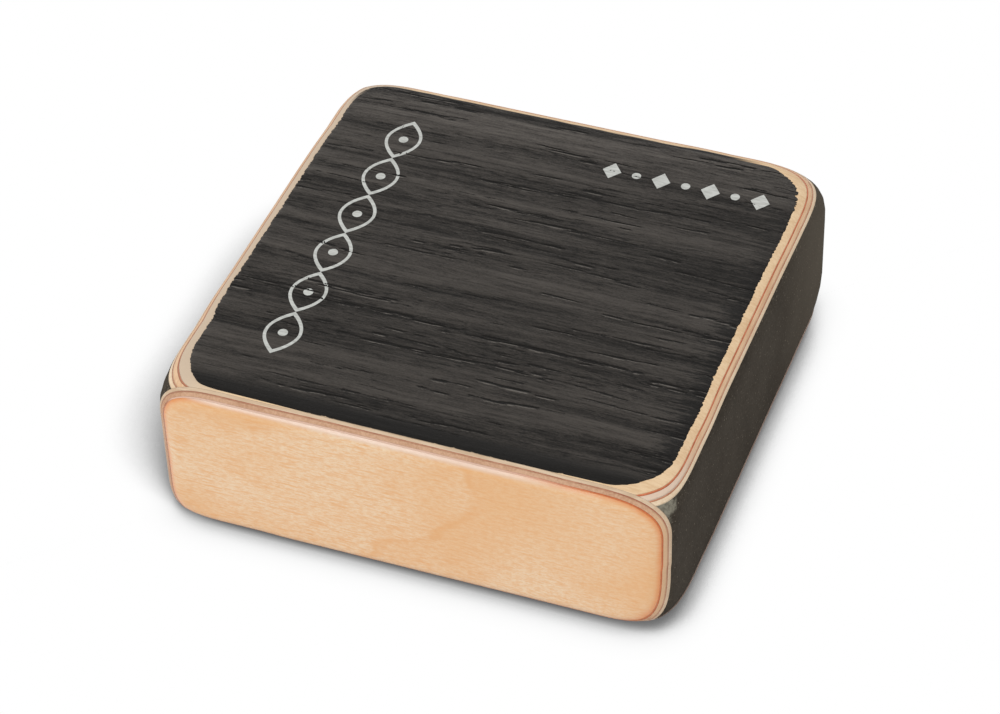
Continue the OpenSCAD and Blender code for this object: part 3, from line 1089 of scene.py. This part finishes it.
# floor, light and a white background
stageLook = {
    "floorHalf": 4.0,
    "floorDrop": 0.05 * mm,
    "floorTone": (0.86, 0.86, 0.86, 1),
    "shadows": [  # where openness is looked for, how far, with how many rays, and brightness by openness
        {"way": (0.0, 0.0, 1.0), "reach": 8 * mm, "rays": 20,
         "bright": ((0.1, 0.32), (0.35, 0.42), (0.5, 0.58), (0.6, 0.8), (0.7, 0.925), (0.85, 0.98), (1, 1))},
        {"way": (1.0, -0.3, 0.3), "reach": 36 * mm, "rays": 64,
         "bright": ((0.44, 0.14), (0.5, 0.24), (0.6, 0.77), (0.67, 0.98), (0.71, 1.0))},
        {"way": (-1.0, 0.6, 0.4), "reach": 13 * mm, "rays": 36,
         "bright": ((0.3, 0.36), (0.4, 0.42), (0.43, 0.55), (0.46, 0.8), (0.5, 0.95), (0.55, 0.985),
                    (0.6, 1))},
    ],
    "skyStrength": 0.8,
    "lamps": [
        {"name": "front_softbox", "place": (-0.52, -1.22, 1.25), "size": (0.6, 0.6), "watts": 7.0},
        {"name": "low_strip", "place": (-0.425, -1.18, 0.45), "size": (0.2, 0.4), "watts": 1.0},
    ],
}


def seenStraight(nodes, links):  # camera, mirror and glass rays see the plain background
    path = nodes.new("ShaderNodeLightPath")
    seen = path.outputs["Is Camera Ray"]
    for way in ("Is Glossy Ray", "Is Transmission Ray"):
        either = nodes.new("ShaderNodeMath")
        either.operation = "MAXIMUM"
        links.new(seen, either.inputs[0])
        links.new(path.outputs[way], either.inputs[1])
        seen = either.outputs[0]
    return seen


def shadowShade(nodes, links, shadow):
    way = np.array(shadow["way"]) / np.linalg.norm(shadow["way"])
    lean = nodes.new("ShaderNodeCombineXYZ")
    for socket, value in zip(lean.inputs, way):
        socket.default_value = value
    openness = nodes.new("ShaderNodeAmbientOcclusion")
    openness.samples = shadow["rays"]
    openness.inputs["Distance"].default_value = shadow["reach"]
    shade = nodes.new("ShaderNodeValToRGB")
    marks = shade.color_ramp.elements
    while len(marks) < len(shadow["bright"]):
        marks.new(0.5)
    for mark, (spot, value) in zip(marks, shadow["bright"]):
        mark.position = spot
        mark.color = (value, value, value, 1)
    links.new(lean.outputs[0], openness.inputs["Normal"])
    links.new(openness.outputs["AO"], shade.inputs["Fac"])
    return shade.outputs["Color"]


def makeFloor(look):
    half = look["floorHalf"]
    corners = [(-half, -half, 0), (half, -half, 0), (half, half, 0), (-half, half, 0)]
    floor = addMesh("floor", corners, [(0, 1, 2, 3)])
    floor.location.z = -look["floorDrop"]
    material = bpy.data.materials.new("pale_floor")
    material.use_nodes = True
    nodes, links = material.node_tree.nodes, material.node_tree.links
    nodes.clear()
    out = nodes.new("ShaderNodeOutputMaterial")
    matte = nodes.new("ShaderNodeBsdfDiffuse")
    matte.inputs["Color"].default_value = look["floorTone"]
    shade = None
    for shadow in look["shadows"]:
        part = shadowShade(nodes, links, shadow)
        if shade is None:
            shade = part
        else:
            both = nodes.new("ShaderNodeVectorMath")
            both.operation = "MULTIPLY"
            links.new(shade, both.inputs[0])
            links.new(part, both.inputs[1])
            shade = both.outputs[0]
    white = nodes.new("ShaderNodeEmission")
    choose = nodes.new("ShaderNodeMixShader")
    links.new(shade, white.inputs["Color"])
    links.new(seenStraight(nodes, links), choose.inputs[0])
    links.new(matte.outputs[0], choose.inputs[1])
    links.new(white.outputs[0], choose.inputs[2])
    links.new(choose.outputs[0], out.inputs["Surface"])
    dress(material, floor)


def makeLight(look):
    for lamp in look["lamps"]:
        data = bpy.data.lights.new(lamp["name"], "AREA")
        data.shape = "RECTANGLE"
        data.size, data.size_y = lamp["size"]
        data.energy = lamp["watts"]
        light = bpy.data.objects.new(lamp["name"], data)
        aim = -np.array(lamp["place"]) / np.linalg.norm(lamp["place"])
        side = np.cross(aim, (0, 0, 1.0))
        side /= np.linalg.norm(side)
        turn = Matrix(np.column_stack([side, np.cross(side, aim), -aim]).tolist()).to_4x4()
        light.matrix_world = Matrix.Translation(lamp["place"]) @ turn
        bpy.context.scene.collection.objects.link(light)
    world = bpy.data.worlds.new("studio")
    bpy.context.scene.world = world
    world.use_nodes = True
    nodes, links = world.node_tree.nodes, world.node_tree.links
    nodes.clear()
    soft = nodes.new("ShaderNodeBackground")
    soft.inputs["Color"].default_value = (1, 1, 1, 1)
    soft.inputs["Strength"].default_value = look["skyStrength"]
    white = nodes.new("ShaderNodeBackground")
    white.inputs["Color"].default_value = (1, 1, 1, 1)
    choose = nodes.new("ShaderNodeMixShader")
    out = nodes.new("ShaderNodeOutputWorld")
    links.new(seenStraight(nodes, links), choose.inputs[0])
    links.new(soft.outputs[0], choose.inputs[1])
    links.new(white.outputs[0], choose.inputs[2])
    links.new(choose.outputs[0], out.inputs["Surface"])


makeFloor(stageLook)
makeLight(stageLook)
bpy.context.scene.view_settings.view_transform = "Standard"
print("stage made")
